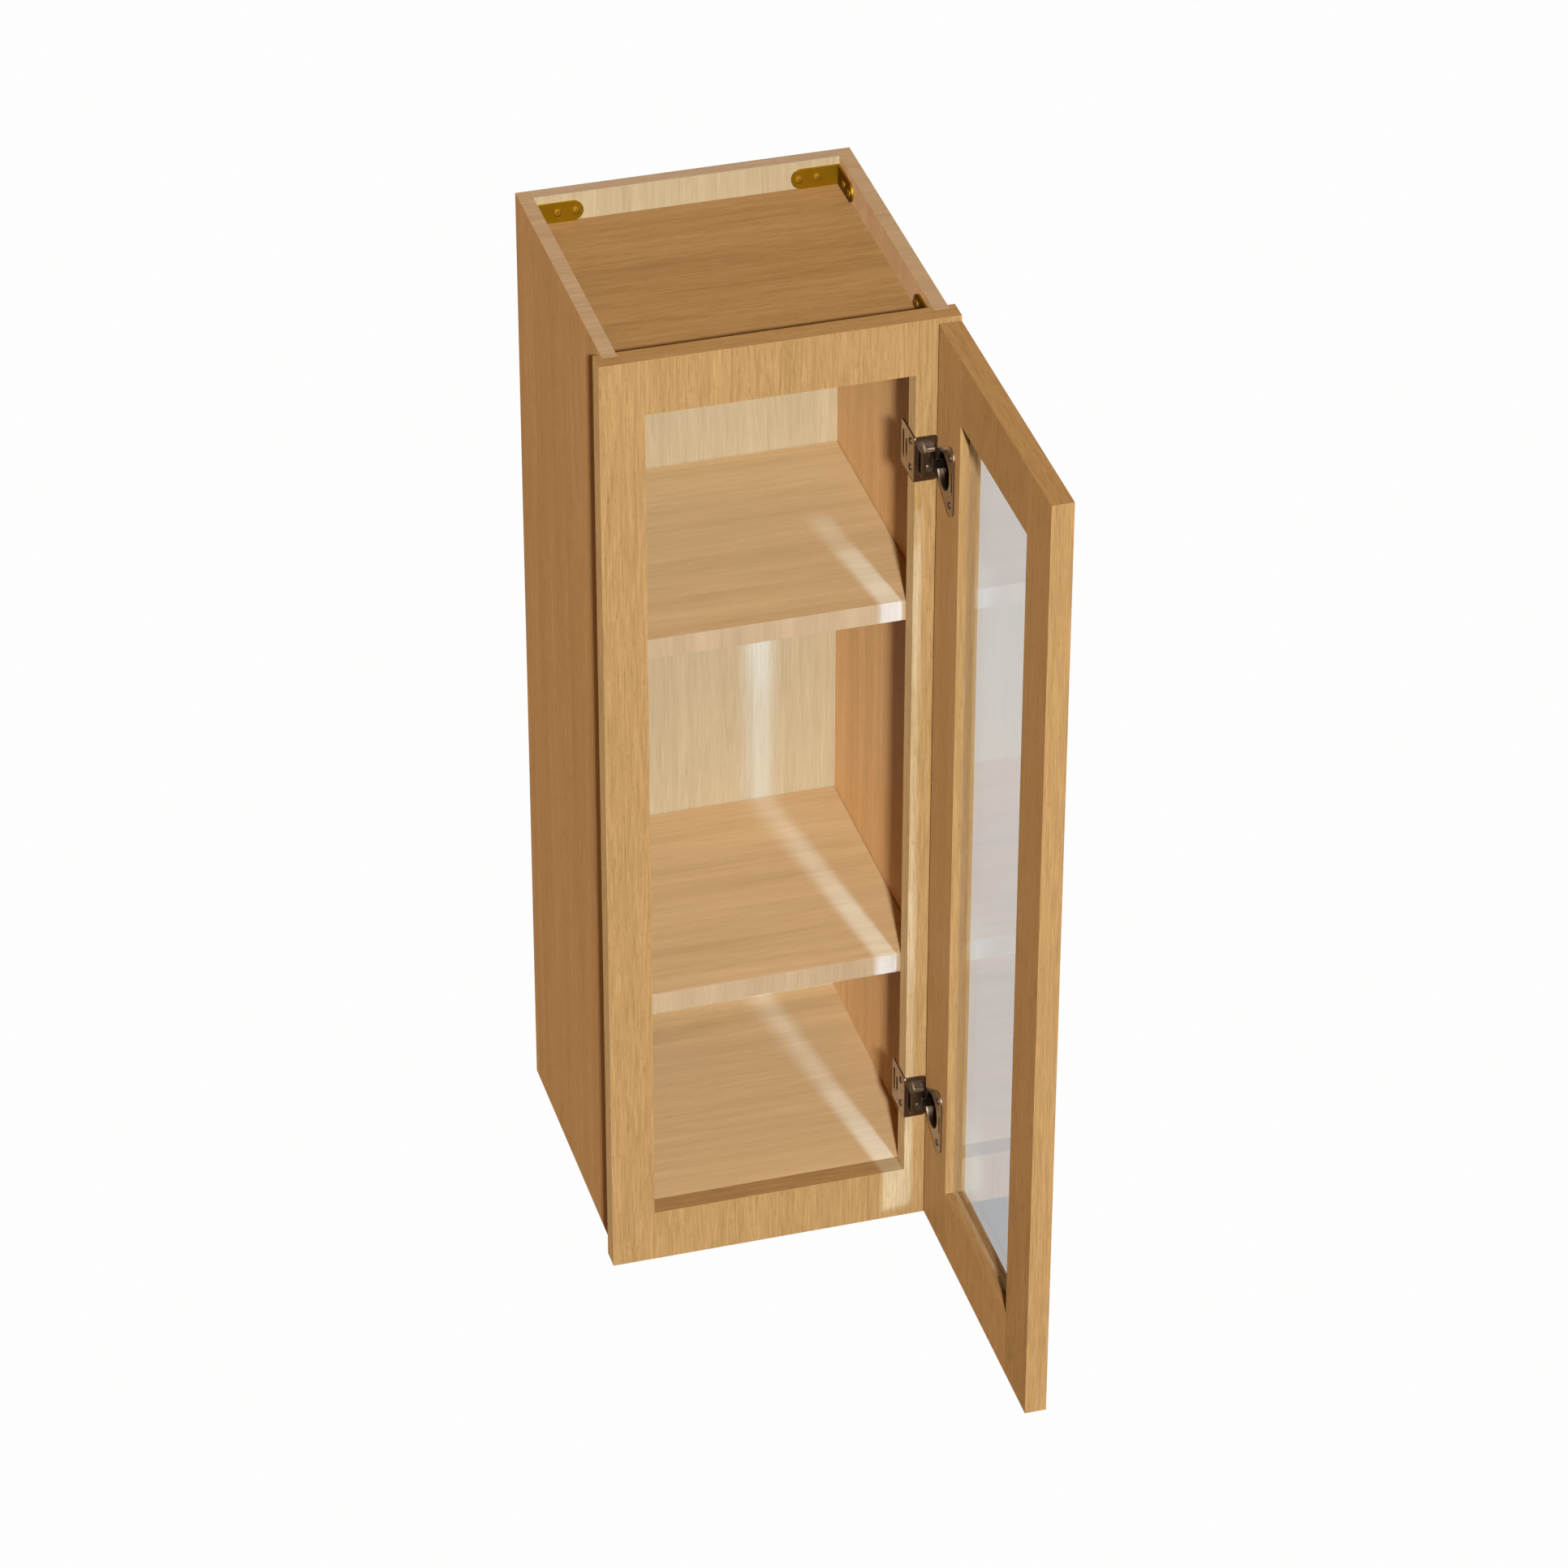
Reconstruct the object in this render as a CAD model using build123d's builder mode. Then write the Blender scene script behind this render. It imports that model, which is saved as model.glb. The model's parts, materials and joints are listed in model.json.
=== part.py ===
from build123d import *
import os
from math import asin, degrees

os.makedirs("parts", exist_ok=True)

# Hanging wall cabinet with a face frame and one glass door, shown with its door open at a
# right angle.  X runs left to right as the cabinet is faced, Y = 0 is the wall face with the
# front towards -Y, and Z = 0 is the underside.  All sizes are in millimetres.

# Driving dimensions: cabinet
cabinet_width = 304.8
cabinet_height = 914.4
cabinet_depth = 298.45
board = 12.7
housing = 6.35

# Driving dimensions: face frame
frame_thick = 19.05
frame_overhang = 6.35
frame_stile = 38.1
frame_rail = 50.8
tenon_length = 12.7
tenon_thick = 6.35

# Driving dimensions: inside
top_panel_drop = 25.6
shelf_thick = 19.05
shelf_play = 0.8
shelf_tops = {"upper": 634.6, "lower": 271.9}
pin_setback = 37.0

# Driving dimensions: door
door_thick = 19.05
side_reveal = 6.35
end_reveal = 3.175
door_gap = 3.0
hinge_stile = 60.3
free_stile = 57.9
door_top_rail_width = 60.4
door_bottom_rail_width = 64.2
glass_thick = 4.0
glass_depth = 7.3
groove_depth = 9.0
glass_edge_play = 1.0
door_bevel = 3.2

# Driving dimensions: hinges
hinge_from_end = 130.2
pin_depth = 7.5
pin_inset = 6.45
cup_inset = 20.0
cup_radius = 17.4
cup_bore_play = 0.1

# Driving dimensions: corner brackets
bracket_leg = 42.5
bracket_width = 18.5
bracket_thick = 1.8
bracket_holes = (20.0, 36.0)

# Derived positions
half_width = cabinet_width / 2
frame_front = -cabinet_depth
frame_back = frame_front + frame_thick
side_outer = half_width - frame_overhang
side_inner = side_outer - board
back_inner = -board
opening_half = half_width - frame_stile
opening_bottom = frame_rail
opening_top = cabinet_height - frame_rail
top_panel_top = cabinet_height - top_panel_drop
bottom_panel_low = opening_bottom - board
hinge_heights = {"upper": cabinet_height - hinge_from_end, "lower": hinge_from_end}

# The door is built open at a right angle, turned about the pin axis from its closed place.
door_width = cabinet_width - 2 * side_reveal
door_low = end_reveal
door_high = cabinet_height - end_reveal
pin_x = half_width - side_reveal - pin_inset
pin_y = frame_front - door_gap - pin_depth
door_inner_x = pin_x - pin_depth
door_edge_y = pin_y + pin_inset

# On this plane x is the distance from the hinged edge, y is the height, and z points out of
# the inner face of the open door.
door_plane = Plane(origin=(door_inner_x, door_edge_y, 0), x_dir=(0, -1, 0), z_dir=(-1, 0, 0))


def block(low, high, mode=Mode.ADD):
    """Add or cut a rectangular block between two opposite corners."""
    size = Vector(*high) - Vector(*low)
    with Locations(Vector(*low) + size / 2):
        Box(size.X, size.Y, size.Z, mode=mode)


def door_block(low, high, mode=Mode.ADD):
    """Add or cut a block given by corners in the door's own coordinates."""
    corners = [door_plane.from_local_coords(Vector(*corner)) for corner in (low, high)]
    lows = [min(pair) for pair in zip(*(tuple(corner) for corner in corners))]
    highs = [max(pair) for pair in zip(*(tuple(corner) for corner in corners))]
    block(lows, highs, mode)


def save(piece, name):
    """Label a finished piece and write its STEP file."""
    piece.part.label = name
    export_step(piece.part, f"parts/{name}.step")


# ---------------------------------------------------------------- screws

screw_radius = 1.7
screw_point = 3.0
pilot_radius = 1.8
pilot_depth = 10.5
clearance_radius = 2.1
recess_length = 3.6
recess_width = 0.8
recess_depth = 0.7


def make_screw(length, head_radius, head_height):
    """A pan-head wood screw at the origin: domed head above, tapered point below."""
    rim = 0.6 * head_height
    crown = head_height - rim
    dome_radius = (head_radius**2 + crown**2) / (2 * crown)
    dome_middle = Vector(0, head_height - dome_radius) + Vector(0, dome_radius).rotate(
        Axis.Z, -degrees(asin(head_radius / dome_radius)) / 2)
    with BuildPart() as screw:
        with BuildSketch(Plane.XZ):
            with BuildLine():
                Polyline((0, -length), (screw_radius, screw_point - length), (screw_radius, 0),
                         (head_radius, 0), (head_radius, rim))
                ThreePointArc((head_radius, rim), (dome_middle.X, dome_middle.Y), (0, head_height))
                Line((0, head_height), (0, -length))
            make_face()
        revolve(axis=Axis.Z)
        with BuildSketch(Plane.XY.offset(head_height)):
            Rectangle(recess_length, recess_width)
            Rectangle(recess_width, recess_length)
        extrude(amount=-recess_depth, mode=Mode.SUBTRACT)
    return screw.part


bracket_screw = make_screw(length=11.0, head_radius=3.6, head_height=1.5)
hinge_screw = make_screw(length=11.0, head_radius=3.0, head_height=1.1)
cup_screw = make_screw(length=10.0, head_radius=3.2, head_height=1.1)


def group_of_screws(screw, sites, name):
    """One node of identical screws, each seated on a site with its head outwards."""
    with BuildPart() as screws:
        with Locations(*sites):
            add(screw)
    save(screws, name)


# ---------------------------------------------------------------- corner brackets

bracket_bend = 1.6

# Each bracket stands in a corner of the top recess or the space under the bottom panel.
# (name, x of the side's inner face, y of the other wall, way along X, way along Y)
bracket_corners = [
    ("back_left", -side_inner, back_inner, 1, -1),
    ("back_right", side_inner, back_inner, -1, -1),
    ("front_left", -side_inner, frame_back, 1, 1),
    ("front_right", side_inner, frame_back, -1, 1),
]
bracket_levels = {
    "top": top_panel_top + bracket_width / 2,
    "bottom": bottom_panel_low - bracket_width / 2,
}


def bracket_sites(corner, level, lift=0.0):
    """Screw places of one bracket, on the walls or lifted off them by the metal's thickness."""
    _, wall_x, wall_y, way_x, way_y = corner
    sites = []
    for reach in bracket_holes:
        along_x = (wall_x + way_x * reach, wall_y + way_y * lift, level)
        along_y = (wall_x + way_x * lift, wall_y + way_y * reach, level)
        sites.append(Plane(origin=along_x, z_dir=(0, way_y, 0)))
        sites.append(Plane(origin=along_y, z_dir=(way_x, 0, 0)))
    return sites


all_bracket_sites = []
for corner in bracket_corners:
    for level in bracket_levels.values():
        all_bracket_sites += bracket_sites(corner, level)


def bracket_pilots():
    """Pilot holes for the bracket screws that fall on the open piece."""
    with Locations(*all_bracket_sites):
        Hole(radius=pilot_radius, depth=pilot_depth)


def bracket_leg_outline(reach_sign):
    """A strip from the corner to a fully rounded end, in the sketch's x."""
    end = bracket_width / 2
    straight = bracket_leg - end
    with Locations((reach_sign * straight / 2, 0)):
        Rectangle(straight, bracket_width)
    with Locations((reach_sign * straight, 0)):
        Circle(end)


for corner in bracket_corners:
    corner_name, wall_x, wall_y, way_x, way_y = corner
    for level_name, level in bracket_levels.items():
        heel = (wall_x, wall_y, level)
        with BuildPart() as corner_bracket:
            with BuildSketch(Plane(origin=heel, x_dir=(1, 0, 0), z_dir=(0, way_y, 0))):
                bracket_leg_outline(way_x)
            extrude(amount=bracket_thick)
            with BuildSketch(Plane(origin=heel, x_dir=(0, 1, 0), z_dir=(way_x, 0, 0))):
                bracket_leg_outline(way_y)
            extrude(amount=bracket_thick)
            bend = corner_bracket.edges().filter_by(Axis.Z).sort_by_distance(heel)[0]
            fillet(bend, radius=bracket_bend)
            with Locations(*bracket_sites(corner, level, bracket_thick)):
                Hole(radius=clearance_radius, depth=2 * bracket_thick)
        save(corner_bracket, f"bracket_{level_name}_{corner_name}")

for level_name, level in bracket_levels.items():
    seats = []
    for corner in bracket_corners:
        seats += bracket_sites(corner, level, bracket_thick)
    group_of_screws(bracket_screw, seats, f"bracket_screws_{level_name}")


# ---------------------------------------------------------------- carcass

shelf_pin_radius = 2.5
shelf_pin_play = 0.05
shelf_pin_hole = 9.0
shelf_pin_length = 8.5
tab_thick = 2.0
tab_reach = 10.0
tab_width = 9.0
web_thick = 1.5
web_drop = tab_thick + 2 * shelf_pin_radius + 1.0
pin_rows = (frame_back + pin_setback, back_inner - pin_setback)


def shelf_pin_sites(side, shelf_top):
    """Centres of the two pin holes that one side panel has for a shelf."""
    height = shelf_top - shelf_thick - tab_thick - shelf_pin_radius
    return [Plane(origin=(side * side_inner, row, height), z_dir=(-side, 0, 0)) for row in pin_rows]


for side, name in ((-1, "left_side_panel"), (1, "right_side_panel")):
    with BuildPart() as side_panel:
        with BuildSketch(Plane.XY):
            with Locations((side * (side_inner + side_outer) / 2, (frame_back - housing) / 2)):
                Rectangle(board, housing - frame_back)
        extrude(amount=cabinet_height)
        for low in (bottom_panel_low, top_panel_top - board):
            reach = (side * side_inner, side * (side_inner + housing))
            block((min(reach), frame_back, low), (max(reach), back_inner, low + board), Mode.SUBTRACT)
        bracket_pilots()
        for shelf_top in shelf_tops.values():
            with Locations(*shelf_pin_sites(side, shelf_top)):
                Hole(radius=shelf_pin_radius + shelf_pin_play, depth=shelf_pin_hole)
    save(side_panel, name)

with BuildPart() as back_panel:
    with BuildSketch(Plane.XY):
        with Locations((0, back_inner / 2)):
            Rectangle(2 * side_inner, board)
    extrude(amount=cabinet_height)
    bracket_pilots()
save(back_panel, "back_panel")

for low, name in ((top_panel_top - board, "top_panel"), (bottom_panel_low, "bottom_panel")):
    with BuildPart() as level_panel:
        with BuildSketch(Plane.XY.offset(low)):
            with Locations((0, (frame_back + back_inner) / 2)):
                Rectangle(2 * (side_inner + housing), back_inner - frame_back)
        extrude(amount=board)
    save(level_panel, name)


# ---------------------------------------------------------------- shelves and pins

shelf_setback = 1.0

for shelf_name, shelf_top in shelf_tops.items():
    with BuildPart() as shelf:
        with BuildSketch(Plane.XY.offset(shelf_top - shelf_thick)):
            with Locations((0, (frame_back + back_inner) / 2)):
                Rectangle(2 * (side_inner - shelf_play), back_inner - frame_back - 2 * shelf_setback)
        extrude(amount=shelf_thick)
    save(shelf, f"{shelf_name}_shelf")

    with BuildPart() as shelf_pins:
        for side in (-1, 1):
            with Locations(*shelf_pin_sites(side, shelf_top)):
                Cylinder(shelf_pin_radius, shelf_pin_length, align=(Align.CENTER, Align.CENTER, Align.MAX))
            tab = (side * side_inner, side * (side_inner - tab_reach))
            web = (side * side_inner, side * (side_inner - web_thick))
            under = shelf_top - shelf_thick
            for row in pin_rows:
                block((min(tab), row - tab_width / 2, under - tab_thick),
                      (max(tab), row + tab_width / 2, under))
                block((min(web), row - tab_width / 2, under - web_drop),
                      (max(web), row + tab_width / 2, under - tab_thick))
    save(shelf_pins, f"{shelf_name}_shelf_pins")


# ---------------------------------------------------------------- face frame

tenon_back = (frame_front + frame_back + tenon_thick) / 2
tenon_front = tenon_back - tenon_thick
tenon_shoulder = 6.35
rail_levels = {"bottom": (0, frame_rail), "top": (opening_top, cabinet_height)}
plate_screw_y = frame_front + frame_thick / 2
plate_screw_spread = 12.5
plate_thick = 1.2


def plate_screw_sites(height, lift=0.0):
    """Two screws of a hinge plate, in the edge of the right stile that faces the opening."""
    return [Plane(origin=(opening_half - lift, plate_screw_y, height + offset), z_dir=(-1, 0, 0))
            for offset in (-plate_screw_spread, plate_screw_spread)]


for side, name in ((-1, "frame_left_stile"), (1, "frame_right_stile")):
    with BuildPart() as stile:
        with BuildSketch(Plane.XY):
            with Locations((side * (opening_half + half_width) / 2, (frame_front + frame_back) / 2)):
                Rectangle(frame_stile, frame_thick)
            with Locations((side * (side_inner + side_outer) / 2, frame_back - housing / 2)):
                Rectangle(board, housing, mode=Mode.SUBTRACT)
        extrude(amount=cabinet_height)
        reach = (side * opening_half, side * (opening_half + tenon_length))
        for low, high in rail_levels.values():
            block((min(reach), tenon_front, low + tenon_shoulder),
                  (max(reach), tenon_back, high - tenon_shoulder), Mode.SUBTRACT)
        bracket_pilots()
        if side > 0:
            for height in hinge_heights.values():
                with Locations(*plate_screw_sites(height)):
                    Hole(radius=pilot_radius, depth=pilot_depth)
    save(stile, name)

for level_name, (low, high) in rail_levels.items():
    with BuildPart() as rail:
        with BuildSketch(Plane.XY.offset(low)):
            with Locations((0, (frame_front + frame_back) / 2)):
                Rectangle(2 * opening_half, frame_thick)
        extrude(amount=high - low)
        block((-opening_half - tenon_length, tenon_front, low + tenon_shoulder),
              (opening_half + tenon_length, tenon_back, high - tenon_shoulder))
        bracket_pilots()
    save(rail, f"frame_{level_name}_rail")


# ---------------------------------------------------------------- door

cup_bore_depth = 12.3
ear_inset = 38.0
ear_spread = 22.5
flange_thick = 1.2
groove_near = -glass_depth
groove_far = -glass_depth - glass_thick


def ear_sites(height, lift=0.0):
    """Two ear screws of a hinge cup, on the door's inner face or on the flange."""
    return [Plane(origin=door_plane.from_local_coords(Vector(ear_inset, height + offset, lift)),
                  z_dir=(-1, 0, 0))
            for offset in (-ear_spread, ear_spread)]


with BuildPart() as door_hinge_stile:
    door_block((0, door_low, -door_thick), (hinge_stile, door_high, 0))
    door_block((hinge_stile - groove_depth, door_low, groove_far),
               (hinge_stile, door_high, groove_near), Mode.SUBTRACT)
    arris = door_hinge_stile.edges().filter_by(Axis.Z).group_by(Axis.X)[-1].sort_by(Axis.Y)[0]
    chamfer(arris, length=door_bevel)
    for height in hinge_heights.values():
        cup_place = door_plane.from_local_coords(Vector(cup_inset, height, 0))
        with Locations(Plane(origin=cup_place, z_dir=(-1, 0, 0))):
            Hole(radius=cup_radius + cup_bore_play, depth=cup_bore_depth)
        with Locations(*ear_sites(height)):
            Hole(radius=pilot_radius, depth=pilot_depth)
save(door_hinge_stile, "door_hinge_stile")

with BuildPart() as door_free_stile:
    inner_edge = door_width - free_stile
    door_block((inner_edge, door_low, -door_thick), (door_width, door_high, 0))
    door_block((inner_edge, door_low, groove_far),
               (inner_edge + groove_depth, door_high, groove_near), Mode.SUBTRACT)
    arris = door_free_stile.edges().filter_by(Axis.Z).group_by(Axis.X)[-1].sort_by(Axis.Y)[-1]
    chamfer(arris, length=door_bevel)
save(door_free_stile, "door_free_stile")

rail_start = hinge_stile - groove_depth
rail_end = door_width - free_stile + groove_depth

with BuildPart() as door_top_rail:
    inner_edge = door_high - door_top_rail_width
    door_block((rail_start, inner_edge, -door_thick), (rail_end, door_high, 0))
    door_block((rail_start, inner_edge, groove_far),
               (rail_end, inner_edge + groove_depth, groove_near), Mode.SUBTRACT)
    arris = door_top_rail.edges().filter_by(Axis.Y).group_by(Axis.X)[-1].sort_by(Axis.Z)[0]
    chamfer(arris, length=door_bevel)
    add(door_hinge_stile.part, mode=Mode.SUBTRACT)
    add(door_free_stile.part, mode=Mode.SUBTRACT)
save(door_top_rail, "door_top_rail")

with BuildPart() as door_bottom_rail:
    inner_edge = door_low + door_bottom_rail_width
    door_block((rail_start, door_low, -door_thick), (rail_end, inner_edge, 0))
    door_block((rail_start, inner_edge - groove_depth, groove_far),
               (rail_end, inner_edge, groove_near), Mode.SUBTRACT)
    arris = door_bottom_rail.edges().filter_by(Axis.Y).group_by(Axis.X)[-1].sort_by(Axis.Z)[-1]
    chamfer(arris, length=door_bevel)
    add(door_hinge_stile.part, mode=Mode.SUBTRACT)
    add(door_free_stile.part, mode=Mode.SUBTRACT)
save(door_bottom_rail, "door_bottom_rail")

glass_overlap = groove_depth - glass_edge_play
with BuildPart() as door_glass:
    door_block((hinge_stile - glass_overlap, door_low + door_bottom_rail_width - glass_overlap, groove_far),
               (door_width - free_stile + glass_overlap, door_high - door_top_rail_width + glass_overlap,
                groove_near))
save(door_glass, "door_glass")


# ---------------------------------------------------------------- hinges

# Wrapped plate: one leaf on the face of the stile, one on its edge, reaching past its back,
# where it has a long slot near its end and a short one before it.
plate_half_height = 21.2
plate_face_leaf = 18.6
plate_edge_leaf = 35.0
plate_bend = 1.0
edge_leaf_corner = 4.0
face_leaf_corner = 3.0
long_slot = {"length": 27.0, "width": 4.0, "from_end": 6.5}
short_slot = {"length": 17.0, "width": 4.0, "from_end": 14.5}

# Arm: a hollow box on the plate, stepped at its top and bottom, and a neck with two knuckles
# round the pin.  Each step is (half of its height, how far it stands out from the frame).
arm_left = opening_half + 1.8
arm_right = pin_x - 10.5
arm_front = frame_front - 11.0
arm_base = frame_front - plate_thick
arm_half_height = 12.0
arm_steps = ((15.2, 4.2), (13.6, 7.6))
arm_step_start = arm_left + 5.0
arm_corner = 2.4
arm_wall = 1.4
arm_far_wall = 4.2
neck_half_height = 4.5
neck_front = pin_y - 1.7
neck_back = pin_y - 0.3
neck_root = 3.0
knuckle_radius = 1.95
spring_room = 2.7
spring_room_radius = 2.5

# Pin and spring
hinge_pin_radius = 1.1
hinge_pin_play = 0.05
hinge_pin_half = 8.5
spring_radius = 1.7
spring_wire = 0.4
spring_turns = 4
spring_height = 3.6

# Cup
flange_ring = 19.4
flange_slot = {"length": 21.0, "width": 3.4, "past_ring": 3.6}
ear_radius = 9.6
cup_wall = 0.9
cup_depth = 12.0
cup_floor = 1.0
cheek_inset = 9.2
cheek_top = -4.5
pin_slot_half = 4.8

# Clamp screw
clamp_reach = 6.5
clamp_drop = 4.0
clamp_radius = 1.6
clamp_play = 0.1
clamp_head_radius = 3.0
clamp_head_height = 1.2


def make_plate(height, name):
    """Plate folded round the stile, with slotted holes and a relief slot behind the frame."""
    edge_plane = Plane(origin=(opening_half - plate_thick, frame_front - plate_thick, height),
                       x_dir=(0, 1, 0), z_dir=(1, 0, 0))
    face_plane = Plane(origin=(opening_half, frame_front, height), x_dir=(1, 0, 0), z_dir=(0, -1, 0))
    edge_length = plate_edge_leaf + plate_thick
    with BuildPart() as plate:
        with BuildSketch(edge_plane) as edge_leaf:
            with Locations((edge_length / 2, 0)):
                Rectangle(edge_length, 2 * plate_half_height)
            fillet(edge_leaf.vertices().group_by(Axis.Y)[-1], radius=edge_leaf_corner)
            for slot in (long_slot, short_slot):
                with Locations((edge_length - slot["from_end"], 0)):
                    SlotOverall(slot["length"], slot["width"], rotation=90, mode=Mode.SUBTRACT)
        extrude(amount=plate_thick)
        with BuildSketch(face_plane) as face_leaf:
            with Locations((plate_face_leaf / 2, 0)):
                Rectangle(plate_face_leaf, 2 * plate_half_height)
            fillet(face_leaf.vertices().group_by(Axis.X)[-1], radius=face_leaf_corner)
        extrude(amount=plate_thick)
        outer_corner = (opening_half - plate_thick, frame_front - plate_thick, height)
        bend = plate.edges().filter_by(Axis.Z).sort_by_distance(outer_corner)[0]
        fillet(bend, radius=plate_bend)
        with Locations(*plate_screw_sites(height, plate_thick)):
            Hole(radius=clearance_radius, depth=2 * plate_thick)
        with Locations(clamp_site(height)):
            Hole(radius=clamp_radius + clamp_play, depth=arm_base - arm_front + 2 * plate_thick)
    save(plate, name)


def clamp_site(height):
    """Seat of the clamp screw on the front of the arm."""
    return Plane(origin=(arm_left + clamp_reach, arm_front, height - clamp_drop), z_dir=(0, -1, 0))


def make_arm(height, name):
    """Box-shaped arm, open towards the opening, with a neck that carries two knuckles."""
    with BuildPart() as arm:
        with BuildSketch(Plane.XY.offset(height - arm_half_height)) as outline:
            with Locations(((arm_left + arm_right) / 2, (arm_front + arm_base) / 2)):
                Rectangle(arm_right - arm_left, arm_base - arm_front)
            fillet(outline.vertices().group_by(Axis.Y)[0], radius=arm_corner)
        extrude(amount=2 * arm_half_height)
        for step_half_height, stands_out in arm_steps:
            block((arm_step_start, frame_front - stands_out, height - step_half_height),
                  (arm_right, arm_base, height + step_half_height))
        block((arm_left, arm_front + arm_wall, height - arm_half_height + arm_wall),
              (arm_right - arm_far_wall, arm_base - arm_wall, height + arm_half_height - arm_wall),
              Mode.SUBTRACT)
        block((arm_right - neck_root, neck_front, height - neck_half_height),
              (pin_x, neck_back, height + neck_half_height))
        with BuildSketch(Plane.XY.offset(height - neck_half_height)):
            with Locations((pin_x, pin_y)):
                Circle(knuckle_radius)
        extrude(amount=2 * neck_half_height)
        with BuildSketch(Plane.XY.offset(height - spring_room)):
            with Locations((pin_x, pin_y)):
                Circle(spring_room_radius)
        extrude(amount=2 * spring_room, mode=Mode.SUBTRACT)
        with Locations((pin_x, pin_y, height)):
            Cylinder(hinge_pin_radius + hinge_pin_play, 4 * neck_half_height, mode=Mode.SUBTRACT)
        with Locations(clamp_site(height)):
            Hole(radius=clamp_radius + clamp_play, depth=arm_base - arm_front)
    save(arm, name)


def make_cup(height, name):
    """Round cup with a two-eared flange, and cheeks that hold the ends of the pin."""
    with BuildPart() as cup:
        with BuildSketch(door_plane):
            with Locations((cup_inset, height)):
                Circle(cup_radius)
        extrude(amount=-cup_depth)
        with BuildSketch(door_plane):
            with Locations((cup_inset, height)):
                Circle(flange_ring)
            with Locations((ear_inset, height - ear_spread), (ear_inset, height + ear_spread)):
                Circle(ear_radius)
            make_hull()
            with Locations((cup_inset - cup_radius, height)):
                Rectangle(2 * flange_ring, 4 * flange_ring, align=(Align.MAX, Align.CENTER),
                          mode=Mode.SUBTRACT)
            with Locations((cup_inset + flange_ring + flange_slot["past_ring"], height)):
                SlotOverall(flange_slot["length"], flange_slot["width"], rotation=90, mode=Mode.SUBTRACT)
        extrude(amount=flange_thick)
        inner_radius = cup_radius - cup_wall
        with BuildSketch(door_plane.offset(flange_thick)):
            with Locations((cup_inset, height)):
                Circle(inner_radius)
        extrude(amount=cheek_top - flange_thick, mode=Mode.SUBTRACT)
        with BuildSketch(door_plane):
            with Locations((cup_inset, height)):
                Circle(inner_radius)
            for way in (-1, 1):
                with Locations((cheek_inset - inner_radius, height + way * (pin_slot_half + inner_radius))):
                    Rectangle(2 * inner_radius, 2 * inner_radius, mode=Mode.SUBTRACT)
        extrude(amount=-(cup_depth - cup_floor), mode=Mode.SUBTRACT)
        with Locations((pin_x, pin_y, height)):
            Cylinder(hinge_pin_radius, 2 * hinge_pin_half, mode=Mode.SUBTRACT)
        with Locations(*ear_sites(height, flange_thick)):
            Hole(radius=clearance_radius, depth=2 * flange_thick)
    save(cup, name)


def make_pin(height, name):
    """Pivot pin, held in the cup's cheeks and turning in the arm's knuckles."""
    with BuildPart() as pin:
        with BuildSketch(Plane.XY.offset(height - hinge_pin_half)):
            with Locations((pin_x, pin_y)):
                Circle(hinge_pin_radius)
        extrude(amount=2 * hinge_pin_half)
    save(pin, name)


def make_spring(height, name):
    """Closing spring: a short coil round the pin, between the knuckles."""
    start = Vector(pin_x + spring_radius, pin_y, height - spring_height / 2)
    with BuildPart() as spring:
        with BuildLine():
            coil = Helix(pitch=spring_height / spring_turns, height=spring_height, radius=spring_radius,
                         center=(pin_x, pin_y, height - spring_height / 2))
        with BuildSketch(Plane(origin=start, z_dir=coil % 0)):
            Circle(spring_wire)
        sweep(path=coil, is_frenet=True)
    save(spring, name)


def make_clamp_screw(height, name):
    """Machine screw that clamps the arm to the plate."""
    with BuildPart() as clamp:
        with Locations(clamp_site(height)):
            Cylinder(clamp_radius, frame_front - arm_front, align=(Align.CENTER, Align.CENTER, Align.MAX))
            Cylinder(clamp_head_radius, clamp_head_height, align=(Align.CENTER, Align.CENTER, Align.MIN))
        with Locations(clamp_site(height).offset(clamp_head_height)):
            Box(recess_length, recess_width, 2 * recess_depth, mode=Mode.SUBTRACT)
            Box(recess_width, recess_length, 2 * recess_depth, mode=Mode.SUBTRACT)
    save(clamp, name)


for hinge_name, height in hinge_heights.items():
    make_plate(height, f"{hinge_name}_hinge_plate")
    make_arm(height, f"{hinge_name}_hinge_arm")
    make_cup(height, f"{hinge_name}_hinge_cup")
    make_pin(height, f"{hinge_name}_hinge_pin")
    make_spring(height, f"{hinge_name}_hinge_spring")
    make_clamp_screw(height, f"{hinge_name}_hinge_clamp_screw")
    group_of_screws(hinge_screw, plate_screw_sites(height, plate_thick),
                    f"{hinge_name}_hinge_plate_screws")
    group_of_screws(cup_screw, ear_sites(height, flange_thick), f"{hinge_name}_hinge_cup_screws")
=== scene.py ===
"""Looks of the hanging wall cabinet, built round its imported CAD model."""
import json
import math

import bpy
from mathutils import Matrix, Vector


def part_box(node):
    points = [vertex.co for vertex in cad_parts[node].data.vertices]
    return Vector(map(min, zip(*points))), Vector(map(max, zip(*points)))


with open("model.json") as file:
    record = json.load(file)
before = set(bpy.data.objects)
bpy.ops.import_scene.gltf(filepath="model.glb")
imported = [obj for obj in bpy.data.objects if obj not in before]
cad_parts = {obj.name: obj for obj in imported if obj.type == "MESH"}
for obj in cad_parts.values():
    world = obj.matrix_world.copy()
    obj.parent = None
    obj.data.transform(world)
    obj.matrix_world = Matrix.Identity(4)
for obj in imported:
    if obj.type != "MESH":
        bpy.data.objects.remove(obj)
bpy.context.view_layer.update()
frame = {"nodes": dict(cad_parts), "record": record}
nodes = frame["nodes"]

MM = 0.001

AXES = "XYZ"

# A surface looks the way of an axis when its normal's part along that axis is over this.
FACING_LIMIT = 0.6


# ---------------------------------------------------------------- node helpers

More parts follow.
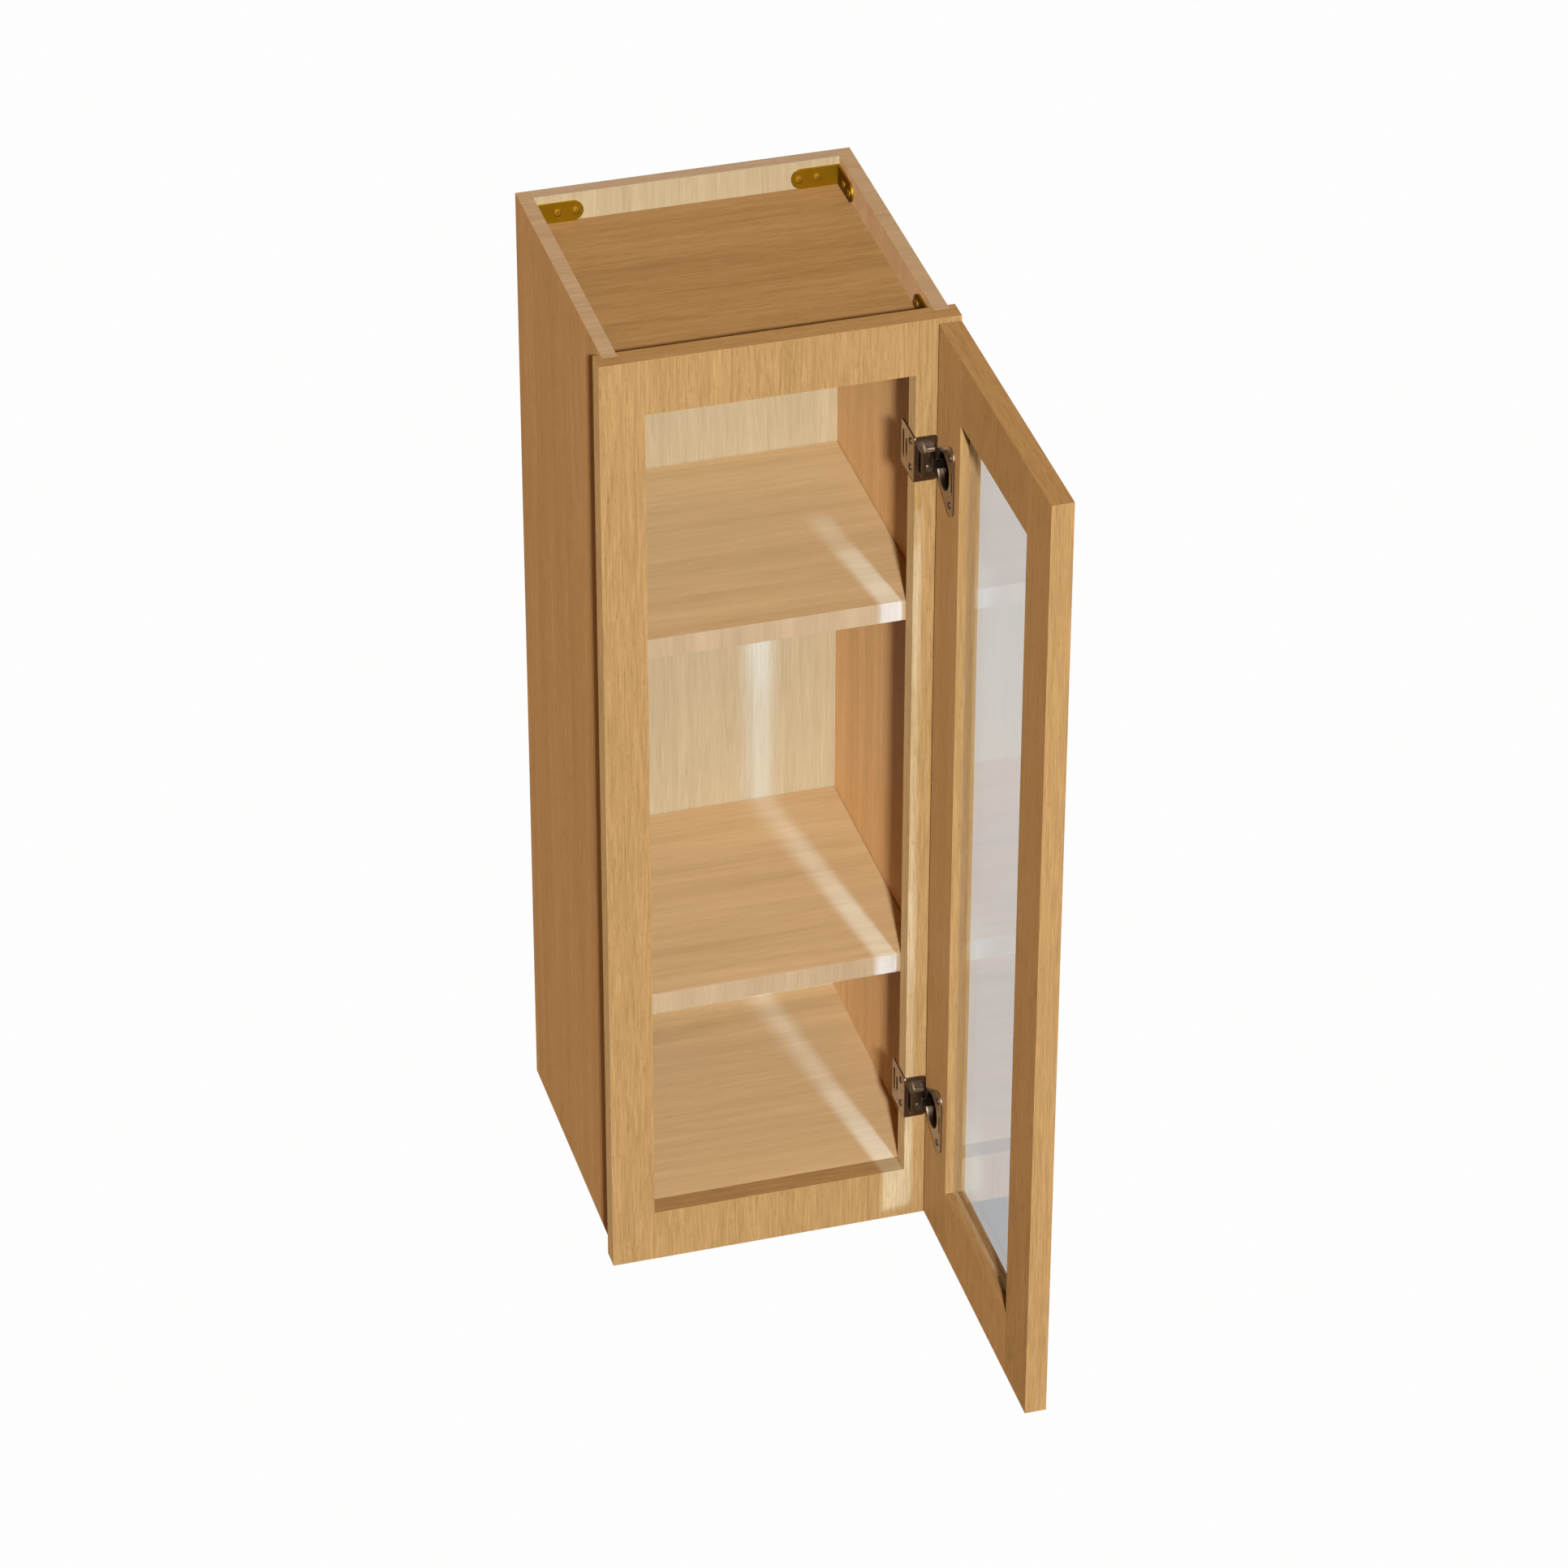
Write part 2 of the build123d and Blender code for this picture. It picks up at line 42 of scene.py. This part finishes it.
class Shading:
    """Short ways to add shader nodes to one tree. Inputs are sockets, numbers or tuples."""

    def __init__(self, tree):
        self.tree = tree

    def put(self, kind, inputs=None, **settings):
        """Add a node, set its properties, and set or link its inputs by name or index."""
        node = self.tree.nodes.new("ShaderNode" + kind)
        for key, value in settings.items():
            setattr(node, key, value)
        for key, value in (inputs or {}).items():
            if isinstance(value, bpy.types.NodeSocket):
                self.tree.links.new(value, node.inputs[key])
            else:
                node.inputs[key].default_value = value
        return node

    def math(self, operation, *values):
        return self.put("Math", dict(enumerate(values)), operation=operation).outputs[0]

    def vector(self, operation, *values):
        node = self.put("VectorMath", dict(enumerate(values)), operation=operation)
        return node.outputs["Value" if operation == "DOT_PRODUCT" else "Vector"]

    def split(self, vector):
        """The X, Y and Z of a vector."""
        return self.put("SeparateXYZ", {0: vector}).outputs

    def noise(self, vector, scale, detail, roughness=0.5):
        node = self.put("TexNoise", {"Vector": vector, "Scale": scale, "Detail": detail,
                                     "Roughness": roughness})
        return node.outputs["Fac"]

    def remap(self, value, low, high, to_low=0.0, to_high=1.0):
        """Smooth step from low to high."""
        node = self.put("MapRange", {"Value": value, "From Min": low, "From Max": high,
                                     "To Min": to_low, "To Max": to_high},
                        interpolation_type="SMOOTHSTEP")
        return node.outputs[0]

    def vary(self, value, amount, about):
        """A value about its mean of a half, scaled and set about another mean."""
        return self.math("MULTIPLY_ADD", self.math("SUBTRACT", value, 0.5), amount, about)

    def facing(self, face):
        """One on surfaces that look the way of a face name such as "-Y", else zero."""
        normal = self.split(self.put("TexCoord").outputs["Normal"])[AXES.index(face[1])]
        sign = 1.0 if face[0] == "+" else -1.0
        return self.math("GREATER_THAN", self.math("MULTIPLY", normal, sign), FACING_LIMIT)

    def mix(self, factor, a, b):
        """Mix two colours."""
        node = self.tree.nodes.new("ShaderNodeMix")
        node.data_type = "RGBA"
        for socket, value in ((node.inputs[0], factor), (node.inputs[6], a), (node.inputs[7], b)):
            if isinstance(value, bpy.types.NodeSocket):
                self.tree.links.new(value, socket)
            elif isinstance(value, tuple):
                socket.default_value = (*value, 1.0)
            else:
                socket.default_value = value
        return node.outputs[2]


def new_material(name):
    """An empty material and the helper for its tree."""
    material = bpy.data.materials.new(name)
    material.use_nodes = True
    material.node_tree.nodes.clear()
    return material, Shading(material.node_tree)


def finish_material(shade, inputs, height=None, bump=0.0):
    """Principled shader and output, with an optional bump from a height in metres."""
    if height is not None:
        node = shade.put("Bump", {"Height": height, "Distance": bump, "Strength": 1.0})
        inputs = dict(inputs, Normal=node.outputs[0])
    shader = shade.put("BsdfPrincipled", inputs)
    shade.put("OutputMaterial", {"Surface": shader.outputs[0]})


def dress(node, material):
    """Give a CAD node's object its one material."""
    mesh = nodes[node].data
    mesh.materials.clear()
    mesh.materials.append(material)


# ---------------------------------------------------------------- wood

# How far the pattern is drawn out along the grain: the lines, and the shorter pores.
LINE_SHRINK = 0.04
PORE_SHRINK = 0.12

# Noise scales across the grain, in steps a metre.
BEND_SCALE = 34.0
STREAK_SCALE = 42.0
RING_SCALE = 150.0
FIBRE_SCALE = 620.0
PORE_SCALE = 820.0

# How far the lines bend, in metres of the drawn-out pattern.
BEND_REACH = 0.016

# Factors on a board's own colour, in pores and on pale arrises; the pale arrises are partly rubbed
# wear and partly a painted highlight.
PORE_TINT = (0.66, 0.55, 0.42)
WEAR_AND_HIGHLIGHT_TINT = (1.14, 1.18, 1.25)


def along(axis, shrink):
    """Scale that draws a pattern out along one axis."""
    return tuple(shrink if name == axis else 1.0 for name in AXES)


def edge_distance(shade, place, node):
    """Distance from a point on the board's surface to its nearest arris, as a socket."""
    low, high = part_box(node)
    position = shade.split(place)
    gaps = []
    for i in range(3):
        from_middle = shade.math("SUBTRACT", position[i], (low[i] + high[i]) / 2)
        gaps.append(shade.math("SUBTRACT", (high[i] - low[i]) / 2,
                               shade.math("ABSOLUTE", from_middle)))
    smaller = shade.math("MINIMUM", gaps[0], gaps[1])
    larger = shade.math("MAXIMUM", gaps[0], gaps[1])
    return shade.math("MAXIMUM", smaller, shade.math("MINIMUM", larger, gaps[2]))


def wood(node, looks, broad, rings, fibre, pores, seed, soft=1.0, patch=None):
    """Lacquered wood for one board.

    looks maps "any" and face names such as "-Y" to (colour, grain axis); a face is picked by the
    surface's own direction, so that a board can be veneered differently on each side, and so that a
    face can take a darker, redder copy of the colour as painted shade. broad, rings, fibre and
    pores are how strongly wide streaks, growth rings, fine lines and dark pores show.
    soft is the diffuse roughness. seed moves the pattern, and boards with one seed share it. patch
    is a face, an axis, a level and the colour of that face beyond the level.
    """
    material, shade = new_material(f"{node}_wood")
    place = shade.put("TexCoord").outputs["Object"]

    colour, axis = looks["any"]
    tone = shade.put("RGB").outputs[0]
    tone.default_value = (*colour, 1.0)
    stretch = shade.put("CombineXYZ", dict(enumerate(along(axis, LINE_SHRINK)))).outputs[0]
    short = shade.put("CombineXYZ", dict(enumerate(along(axis, PORE_SHRINK)))).outputs[0]
    for face, (colour, face_axis) in looks.items():
        if face == "any":
            continue
        mask = shade.facing(face)
        tone = shade.mix(mask, tone, colour)
        if face_axis != axis:
            stretch = shade.mix(mask, stretch, along(face_axis, LINE_SHRINK))
            short = shade.mix(mask, short, along(face_axis, PORE_SHRINK))

    if patch:
        face, side, level, colour = patch
        beyond = shade.math("GREATER_THAN", shade.split(place)[AXES.index(side)], level)
        tone = shade.mix(shade.math("MULTIPLY", shade.facing(face), beyond), tone, colour)

    # Two spaces of the pattern: long lines, gently bent across the grain, and short dashes.
    shifted = shade.vector("ADD", place, (seed * 0.37, seed * 0.53, seed * 0.71))
    drawn = shade.vector("MULTIPLY", shifted, stretch)
    bend = shade.put("TexNoise", {"Vector": drawn, "Scale": BEND_SCALE, "Detail": 2.0})
    bend = shade.vector("SUBTRACT", bend.outputs["Color"], (0.5, 0.5, 0.5))
    drawn = shade.vector("ADD", drawn, shade.vector("MULTIPLY", bend, (BEND_REACH,) * 3))
    dashes = shade.vector("MULTIPLY", shifted, short)

    wide = shade.noise(drawn, STREAK_SCALE, 2.0)
    ring = shade.noise(drawn, RING_SCALE, 3.0, 0.6)
    fine = shade.noise(drawn, FIBRE_SCALE, 3.0, 0.7)
    pore = shade.remap(shade.noise(dashes, PORE_SCALE, 2.0, 0.6), 0.56, 0.70)
    pore = shade.math("MULTIPLY", pore, shade.remap(ring, 0.35, 0.60, 0.35, 1.0))

    # Streaks about a mean of one, darker ones redder.
    lightness = shade.vary(wide, broad, 1.0)
    lightness = shade.vary(ring, rings, lightness)
    lightness = shade.vary(fine, fibre, lightness)
    by_channel = shade.put("CombineXYZ", {0: shade.math("POWER", lightness, 0.85), 1: lightness,
                                          2: shade.math("POWER", lightness, 1.25)}).outputs[0]
    toned = shade.vector("MULTIPLY", tone, by_channel)
    toned = shade.mix(shade.math("MULTIPLY", pore, pores), toned,
                      shade.vector("MULTIPLY", toned, PORE_TINT))

    # Arrises are painted a little paler, in patches: partly rubbed wear, partly a painted highlight
    # where the rounded edges catch the light.
    near_arris = shade.remap(edge_distance(shade, place, node), 0.9 * MM, 0.1 * MM)
    patches = shade.remap(shade.noise(place, 60.0, 3.0, 0.6), 0.35, 0.65)
    wear_and_highlight = shade.math("MULTIPLY", near_arris, patches)
    toned = shade.mix(shade.math("MULTIPLY", wear_and_highlight, 0.3), toned,
                      shade.vector("MULTIPLY", toned, WEAR_AND_HIGHLIGHT_TINT))

    rough = shade.vary(fine, 0.22, 0.50)
    rough = shade.math("MULTIPLY_ADD", pore, 0.15, rough)
    height = shade.math("SUBTRACT", shade.math("MULTIPLY", fine, 0.5), pore)
    finish_material(shade, {"Base Color": toned, "Roughness": rough, "Diffuse Roughness": soft,
                            "Specular IOR Level": 0.15, "Coat Weight": 0.02,
                            "Coat Roughness": 0.30}, height, 0.05 * MM)
    dress(node, material)


def soften(node, width):
    """Round a piece's arrises with modifiers, after joining its faces' doubled corners."""
    piece = nodes[node]
    weld = piece.modifiers.new("join_faces", "WELD")
    weld.merge_threshold = 1e-6
    bevel = piece.modifiers.new("arris", "BEVEL")
    bevel.width = width
    bevel.segments = 2
    bevel.limit_method = "ANGLE"
    bevel.angle_limit = math.radians(35)
    bevel.harden_normals = True


# Colours of the boards' faces, as measured against the photo.
# The oak's side and top faces and the door's inner faces are darker, redder copies of the front's
# oak, and the inner walls' maple is redder than the back's: partly the boards' own tone, partly
# painted shade for how light falls on those faces and bounces inside.
OAK_FRONT = (0.525, 0.345, 0.150)
OAK_SIDE = (0.50, 0.280, 0.108)
OAK_TOP = (0.345, 0.196, 0.074)
DOOR_INSIDE = (0.43, 0.240, 0.088)
MAPLE_BACK = (0.60, 0.50, 0.320)
MAPLE_SHELF = (0.67, 0.46, 0.236)
MAPLE_EDGE = (0.61, 0.475, 0.32)
MAPLE_WALL = (0.68, 0.390, 0.160)
RIM_INSIDE = (0.57, 0.355, 0.18)
# The next colour is painted light: the glass groove's far wall, which lies in shade, is painted
# bright as if lit.
GROOVE_PAINTED_LIGHT = (0.92, 0.60, 0.33)
CORE_EDGE = (0.405, 0.28, 0.160)
BACK_EDGE = (0.50, 0.37, 0.24)

# The door's inner face has a slightly different lightness on each board.
DOOR_BOARDS = {"door_hinge_stile": 1.0, "door_free_stile": 0.95, "door_top_rail": 0.92,
               "door_bottom_rail": 1.10}

GROOVE_BEYOND = 0.141    # X in the groove that holds the door's glass
RECESS_ABOVE = 0.889     # Z of the top panel's upper face
OAK_ARRIS = 0.15 * MM
PANEL_ARRIS = 0.3 * MM

for node in ("frame_left_stile", "frame_right_stile", "frame_top_rail", "frame_bottom_rail"):
    wood(node, {"any": (OAK_FRONT, "Z"), "+Z": (OAK_TOP, "X")}, 0.20, 0.26, 1.0, 0.5, seed=1)
# Beyond GROOVE_BEYOND, the groove's shaded far wall is painted bright: painted light.
for node, lightness in DOOR_BOARDS.items():
    inside = tuple(value * lightness for value in DOOR_INSIDE)
    wood(node, {"any": (OAK_FRONT, "Z"), "-X": (inside, "Z"), "+Z": (OAK_TOP, "Y")},
         0.20, 0.28, 0.9, 0.5, seed=11, patch=("-X", "X", GROOVE_BEYOND, GROOVE_PAINTED_LIGHT))
for seed, (node, inside) in enumerate((("left_side_panel", "+X"), ("right_side_panel", "-X"))):
    wood(node, {"any": (OAK_SIDE, "Z"), inside: (MAPLE_WALL, "Z"), "+Z": (CORE_EDGE, "X"),
                "-Z": (CORE_EDGE, "X")}, 0.35, 0.40, 0.6, 0.35, seed=seed + 21,
         patch=(inside, "Z", RECESS_ABOVE, RIM_INSIDE))
wood("back_panel", {"any": (MAPLE_BACK, "Z"), "+Z": (BACK_EDGE, "X"), "-Z": (BACK_EDGE, "X")},
     0.15, 0.30, 0.45, 0.15, soft=0.4, seed=31)
wood("top_panel", {"any": (OAK_TOP, "X")}, 0.35, 0.45, 0.8, 0.4, seed=32)
for seed, node in enumerate(("bottom_panel", "upper_shelf", "lower_shelf")):
    wood(node, {"any": (MAPLE_SHELF, "X"), "-Y": (MAPLE_EDGE, "Z")}, 0.40, 0.30, 0.35, 0.12,
         soft=0.4, seed=seed + 41)

for node in nodes:
    if node.startswith(("frame_", "door_")) and node != "door_glass":
        soften(node, OAK_ARRIS)
    elif node.endswith(("_panel", "_shelf")):
        soften(node, PANEL_ARRIS)


# ---------------------------------------------------------------- metal and glass

# Factor for metal painted darker: painted shade and painted dark reflections.
PAINTED_SHADE_TINT = (0.30, 0.26, 0.22)
CUP_BEYOND = 0.1323    # X just behind the door's inner face


def metal(name, colour, roughness, stain, stain_colour, rounding=0.25, painted_shade=None):
    """Plated or passivated metal with fine scratches, a faint stain and lightly rounded edges.

    stain is how strongly the stain shows, and rounding is the edges' radius in millimetres. The
    last argument, a function of the shading helper, gives where the metal is painted darker:
    painted shade.
    """
    material, shade = new_material(name)
    place = shade.put("TexCoord").outputs["Object"]
    cloud = shade.remap(shade.noise(place, 140.0, 4.0, 0.6), 0.35, 0.70)
    lines = shade.noise(shade.vector("MULTIPLY", place, (1.0, 0.12, 1.0)), 2600.0, 2.0, 0.6)
    base = shade.mix(shade.math("MULTIPLY", cloud, stain), colour, stain_colour)
    # Painted shade: the base colour is painted darker where the mask says.
    if painted_shade:
        base = shade.mix(painted_shade(shade), base, shade.vector("MULTIPLY", base, PAINTED_SHADE_TINT))
    rough = shade.vary(lines, 0.06, roughness)
    rough = shade.math("MULTIPLY_ADD", cloud, 0.06, rough)
    edges = shade.put("Bevel", {"Radius": rounding * MM}, samples=8).outputs[0]
    finish_material(shade, {"Base Color": base, "Metallic": 1.0, "Roughness": rough,
                            "Normal": edges})
    return material


def on_top(shade):
    """One on the hinge arms' upward faces, which are painted darker: a painted dark reflection."""
    return shade.facing("+Z")


def inside_cup(shade):
    """One behind the door's inner face, in the cup, which is painted darker: painted shade in the
    hollow.
    """
    place = shade.split(shade.put("TexCoord").outputs["Object"])
    return shade.math("GREATER_THAN", place[0], CUP_BEYOND)


def facing_left(shade):
    """One on the brackets' leaves on the right side panel, which are painted darker: painted shade.
    """
    return shade.facing("-X")


# The arms' upward faces, the cups' insides and the brackets' leftward faces are painted darker:
# painted shade and painted dark reflections.
arm_nickel = metal("arm_nickel", (0.50, 0.46, 0.42), 0.20, 0.3, (0.40, 0.36, 0.32), 0.35, on_top)
plate_nickel = metal("plate_nickel", (0.48, 0.39, 0.31), 0.28, 0.4, (0.36, 0.29, 0.22))
cup_nickel = metal("cup_nickel", (0.50, 0.40, 0.31), 0.36, 0.4, (0.38, 0.30, 0.23), 0.40,
                   inside_cup)
pin_steel = metal("ground_steel", (0.55, 0.50, 0.45), 0.30, 0.3, (0.42, 0.38, 0.34))
spring_wire = metal("spring_wire", (0.40, 0.37, 0.34), 0.30, 0.4, (0.28, 0.25, 0.22))
screw_nickel = metal("screw_nickel", (0.22, 0.18, 0.14), 0.50, 0.4, (0.16, 0.13, 0.10))
brass = metal("yellow_passivate", (0.58, 0.345, 0.012), 0.50, 0.3, (0.48, 0.29, 0.02),
              painted_shade=facing_left)
screw_brass = metal("screw_passivate", (0.50, 0.30, 0.03), 0.60, 0.3, (0.40, 0.24, 0.02))

metal_of_slot = {
    "hinge_steel": arm_nickel,
    "hinge_pin_steel": pin_steel,
    "spring_steel": spring_wire,
    "hinge_screw_steel": screw_nickel,
    "shelf_pin_steel": screw_nickel,
    "bracket_brass": brass,
    "bracket_screw_brass": screw_brass,
}
for part in frame["record"]["subparts"]:
    if part["material_slot"] in metal_of_slot:
        dress(part["node"], metal_of_slot[part["material_slot"]])
for side in ("upper", "lower"):
    dress(f"{side}_hinge_plate", plate_nickel)
    dress(f"{side}_hinge_cup", cup_nickel)


def clear_glass():
    """Float glass, very slightly uneven. It lets light straight through; its coat reflects."""
    material, shade = new_material("clear_float_glass")
    place = shade.put("TexCoord").outputs["Object"]
    waves = shade.noise(place, 9.0, 1.0)
    finish_material(shade, {"Base Color": (0.83, 0.86, 0.90, 1.0), "Roughness": 0.0, "IOR": 1.0,
                            "Transmission Weight": 1.0, "Coat Weight": 1.0, "Coat Roughness": 0.0,
                            "Coat IOR": 1.5}, waves, 0.02 * MM)
    return material


dress("door_glass", clear_glass())
nodes["door_glass"].visible_shadow = False


# ---------------------------------------------------------------- stage

STAGE_WHITE = (0.985, 0.985, 0.98, 1.0)
FLOOR_LEVEL = -1.37
FLOOR_SIZE = 60
BACKDROP_RADIUS = 45


def stage_white(name, open_behind):
    """Plain pale emission. With open_behind, a face is clear when seen from its back."""
    material, shade = new_material(name)
    surface = shade.put("Emission", {"Color": STAGE_WHITE, "Strength": 1.0}).outputs[0]
    if open_behind:
        clear = shade.put("BsdfTransparent").outputs[0]
        behind = shade.put("NewGeometry").outputs["Backfacing"]
        surface = shade.put("MixShader", {0: behind, 1: surface, 2: clear}).outputs[0]
    shade.put("OutputMaterial", {"Surface": surface})
    return material


def camera_only(obj):
    """Stage piece that the camera sees directly, but not through glass or by reflection."""
    obj.visible_diffuse = False
    obj.visible_glossy = False
    obj.visible_transmission = False
    obj.visible_shadow = False


bpy.ops.mesh.primitive_plane_add(size=FLOOR_SIZE, location=(0, 0, FLOOR_LEVEL))
floor = bpy.context.object
floor.name = "floor"
floor.data.materials.append(stage_white("pale_floor", open_behind=True))
camera_only(floor)

bpy.ops.mesh.primitive_uv_sphere_add(radius=BACKDROP_RADIUS, location=(0, 0, 0))
backdrop = bpy.context.object
backdrop.name = "backdrop"
backdrop.data.materials.append(stage_white("pale_backdrop", open_behind=False))
camera_only(backdrop)


# ---------------------------------------------------------------- light

def aim(obj, way):
    """Turn a light to shine one way."""
    obj.rotation_mode = "QUATERNION"
    obj.rotation_quaternion = way.to_track_quat("-Z", "Y")


def add_light(name, kind, energy, colour, way, place=(0, 0, 3), **settings):
    """A light that the camera does not see; only the key shows in reflections."""
    lamp = bpy.data.lights.new(name, kind)
    lamp.energy = energy
    lamp.color = colour
    for key, value in settings.items():
        setattr(lamp, key, value)
    obj = bpy.data.objects.new(name, lamp)
    obj.location = place
    obj.visible_camera = False
    obj.visible_glossy = name == "key"
    obj.visible_transmission = False
    bpy.context.scene.collection.objects.link(obj)
    aim(obj, way)
    return obj


KEY_PLACE = Vector((-1.50, -9.3, 5.93))
KEY_TARGET = Vector((0, -0.15, 0.45))
KEY_POWER = 1060.0
KEY_SIZE = 0.55

add_light("key", "AREA", KEY_POWER, (1.0, 0.985, 0.96), KEY_TARGET - KEY_PLACE, KEY_PLACE,
          shape="DISK", size=KEY_SIZE)

# The key light thrown back by the open door's glass: a narrow beam that slopes into the cabinet. It
# is made of a stack of strips in front of the opening, each square to the beam. A step is the
# strip's drop in height and its share of the full strength. The beam lights the carcass alone.
GLINT_WAY = Vector((-0.145, 1.0, -0.60))
GLINT_UP = Vector((0, 0, 1)) - GLINT_WAY * (GLINT_WAY.z / GLINT_WAY.length_squared)
GLINT_STEPS = ((0.035, 0.40), (0.030, 0.85), (0.060, 1.00), (0.050, 0.80), (0.160, 0.55),
               (0.050, 0.70), (0.070, 0.95), (0.020, 1.00), (0.020, 0.80), (0.110, 0.55),
               (0.030, 0.80), (0.090, 1.00))
GLINT_WIDTH = 0.026
GLINT_FLUX = 4.8
GLINT_COLOUR = (0.25, 0.50, 0.97)
GLINT_SPREAD = math.radians(4.5)
GLINT_TOP = (0.1080, -0.2985, 0.735)
GLINT_UPSTREAM = 0.06

cabinet = bpy.data.collections.new("lit_by_the_glint")
for name, obj in nodes.items():
    if name.startswith("frame_") or name.endswith(("_panel", "_shelf")):
        cabinet.objects.link(obj)

top = Vector(GLINT_TOP) - GLINT_WAY * GLINT_UPSTREAM
for level, (drop, share) in enumerate(GLINT_STEPS):
    length = drop * GLINT_UP.z / GLINT_UP.length
    middle = top - GLINT_UP.normalized() * (length / 2)
    strip = add_light(f"glint_{level}", "AREA", GLINT_FLUX * share * GLINT_WIDTH * length,
                      GLINT_COLOUR, GLINT_WAY, middle, shape="RECTANGLE", size=GLINT_WIDTH,
                      size_y=length, spread=GLINT_SPREAD)
    strip.light_linking.receiver_collection = cabinet
    top.z -= drop

# Fills for the sides that the key does not reach. They run square to the cabinet, so each lights
# only the faces that look its way.
FILL_COLOUR = (1.0, 0.94, 0.86)

for name, way, strength in (("fill_right", (-1, 0, 0), 1.1), ("fill_back", (0, -1, 0), 1.1),
                            ("fill_below", (0, 0, 1), 0.5)):
    add_light(name, "SUN", strength, FILL_COLOUR, Vector(way))

# Dim warm surroundings. The door's glass shows them and not the stage, so a pale patch lies
# behind the glass as the photo sees it; from other sides the glass looks darker.
AIR_BELOW = (0.130, 0.072, 0.032)
AIR_ABOVE = (0.260, 0.146, 0.066)
PATCH_COLOUR = (0.765, 0.79, 0.80)
PATCH_WAY = (0.231, 0.796, -0.560)
PATCH_EDGE = (0.93, 0.985)

world = bpy.data.worlds.new("studio")
world.use_nodes = True
world.node_tree.nodes.clear()
sky = Shading(world.node_tree)
way = sky.put("TexCoord").outputs["Generated"]
height = sky.split(way)[2]
air = sky.mix(sky.remap(height, -0.45, 0.25), AIR_BELOW, AIR_ABOVE)
behind_glass = sky.remap(sky.vector("DOT_PRODUCT", way, PATCH_WAY), *PATCH_EDGE)
air = sky.mix(behind_glass, air, PATCH_COLOUR)
background = sky.put("Background", {"Color": air, "Strength": 1.0})
sky.put("OutputWorld", {"Surface": background.outputs[0]})
bpy.context.scene.world = world


# ---------------------------------------------------------------- camera

bpy.context.scene.view_settings.view_transform = "Standard"
bpy.context.scene.view_settings.look = "None"

# The photo's camera, from a fit to the cabinet's corners.
lens = bpy.data.cameras.new("camera")
lens.lens = 146.4
lens.sensor_width = 36.0
lens.clip_start = 0.1
lens.clip_end = 100.0
camera = bpy.data.objects.new("camera", lens)
camera.location = (-1.2396, -4.5779, 3.4950)
camera.rotation_euler = [math.radians(angle) for angle in (55.946, -0.104, -16.120)]
bpy.context.scene.collection.objects.link(camera)
bpy.context.scene.camera = camera

bpy.context.view_layer.update()
